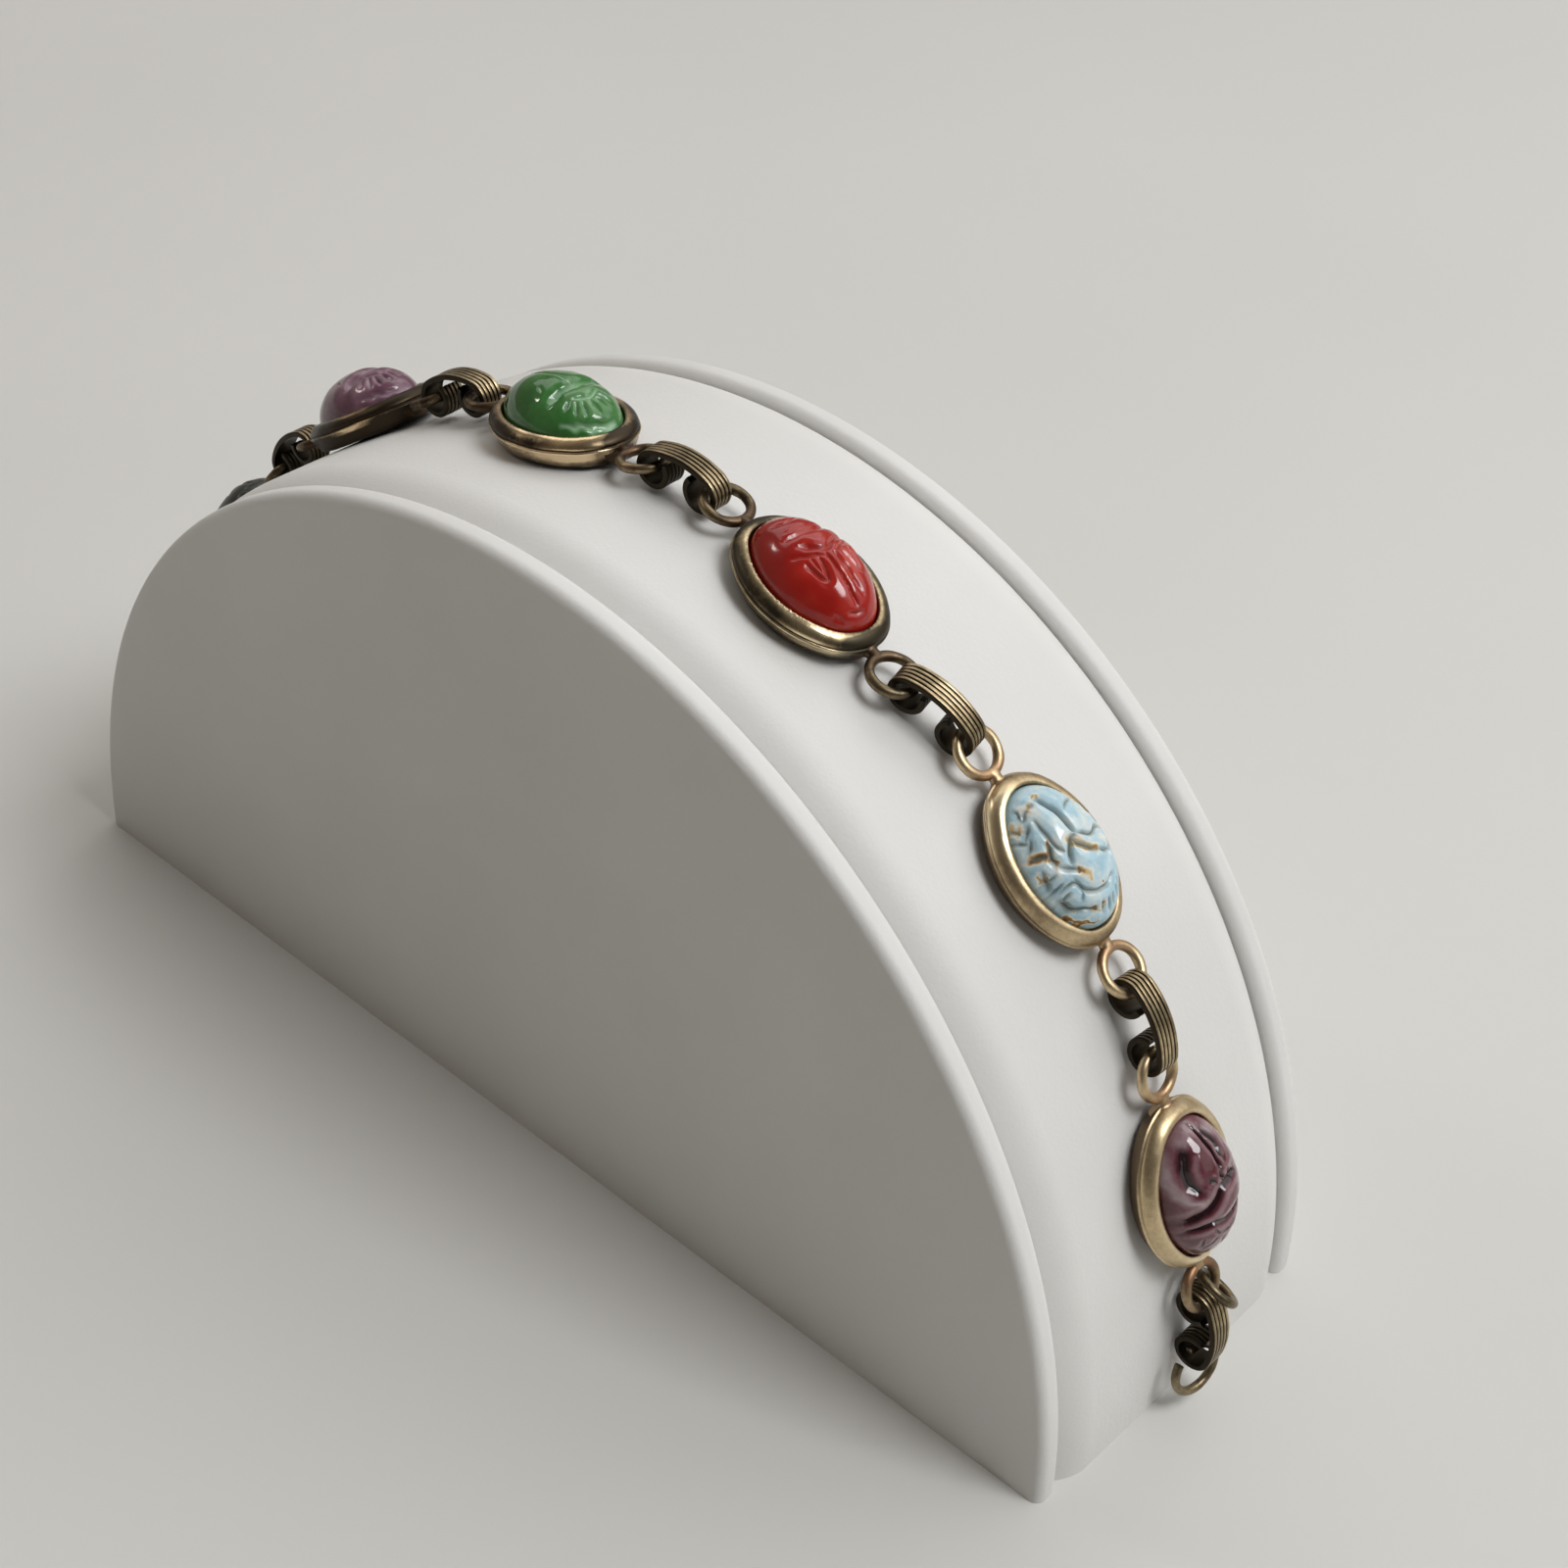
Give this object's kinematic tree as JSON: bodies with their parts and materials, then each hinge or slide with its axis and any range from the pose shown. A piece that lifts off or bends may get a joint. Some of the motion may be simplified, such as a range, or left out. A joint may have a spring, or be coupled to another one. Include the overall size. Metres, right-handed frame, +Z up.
{
  "type": "scarab bracelet on half-moon display stand",
  "caption": "Bracelet of carved scarab stones in oval brass settings joined by ribbed links, laid over a white half-moon display stand.",
  "frame": {"origin": "on the floor under the middle of the stand, at the centre of its flat base", "axes": "+Z up; +X along the stand, towards the bracelet's hook end; +Y from the front panel to the back panel"},
  "size_m": [0.1262, 0.0356, 0.0655],
  "materials": {
    "stand": "matte",
    "setting": "satin",
    "link": "satin",
    "amethyst": "gloss",
    "turquoise": "gloss",
    "carnelian": "gloss",
    "jade": "gloss",
    "lilac": "gloss",
    "dark": "gloss"
  },
  "bodies": {
    "root": {"stand_body": "stand", "stand_front_panel": "stand", "stand_back_panel": "stand", "setting_amethyst": "setting", "scarab_amethyst": "amethyst", "setting_turquoise": "setting", "scarab_turquoise": "turquoise", "setting_carnelian": "setting", "scarab_carnelian": "carnelian", "setting_jade": "setting", "scarab_jade": "jade", "setting_lilac": "setting", "scarab_lilac": "lilac", "setting_dark": "setting", "scarab_dark": "dark", "link_1": "link", "link_2": "link", "link_3": "link", "link_4": "link", "link_5": "link", "hook_link": "link", "end_link": "link", "hook_ring": "setting", "jump_ring": "setting", "end_ring": "setting"}
  },
  "joints": []
}
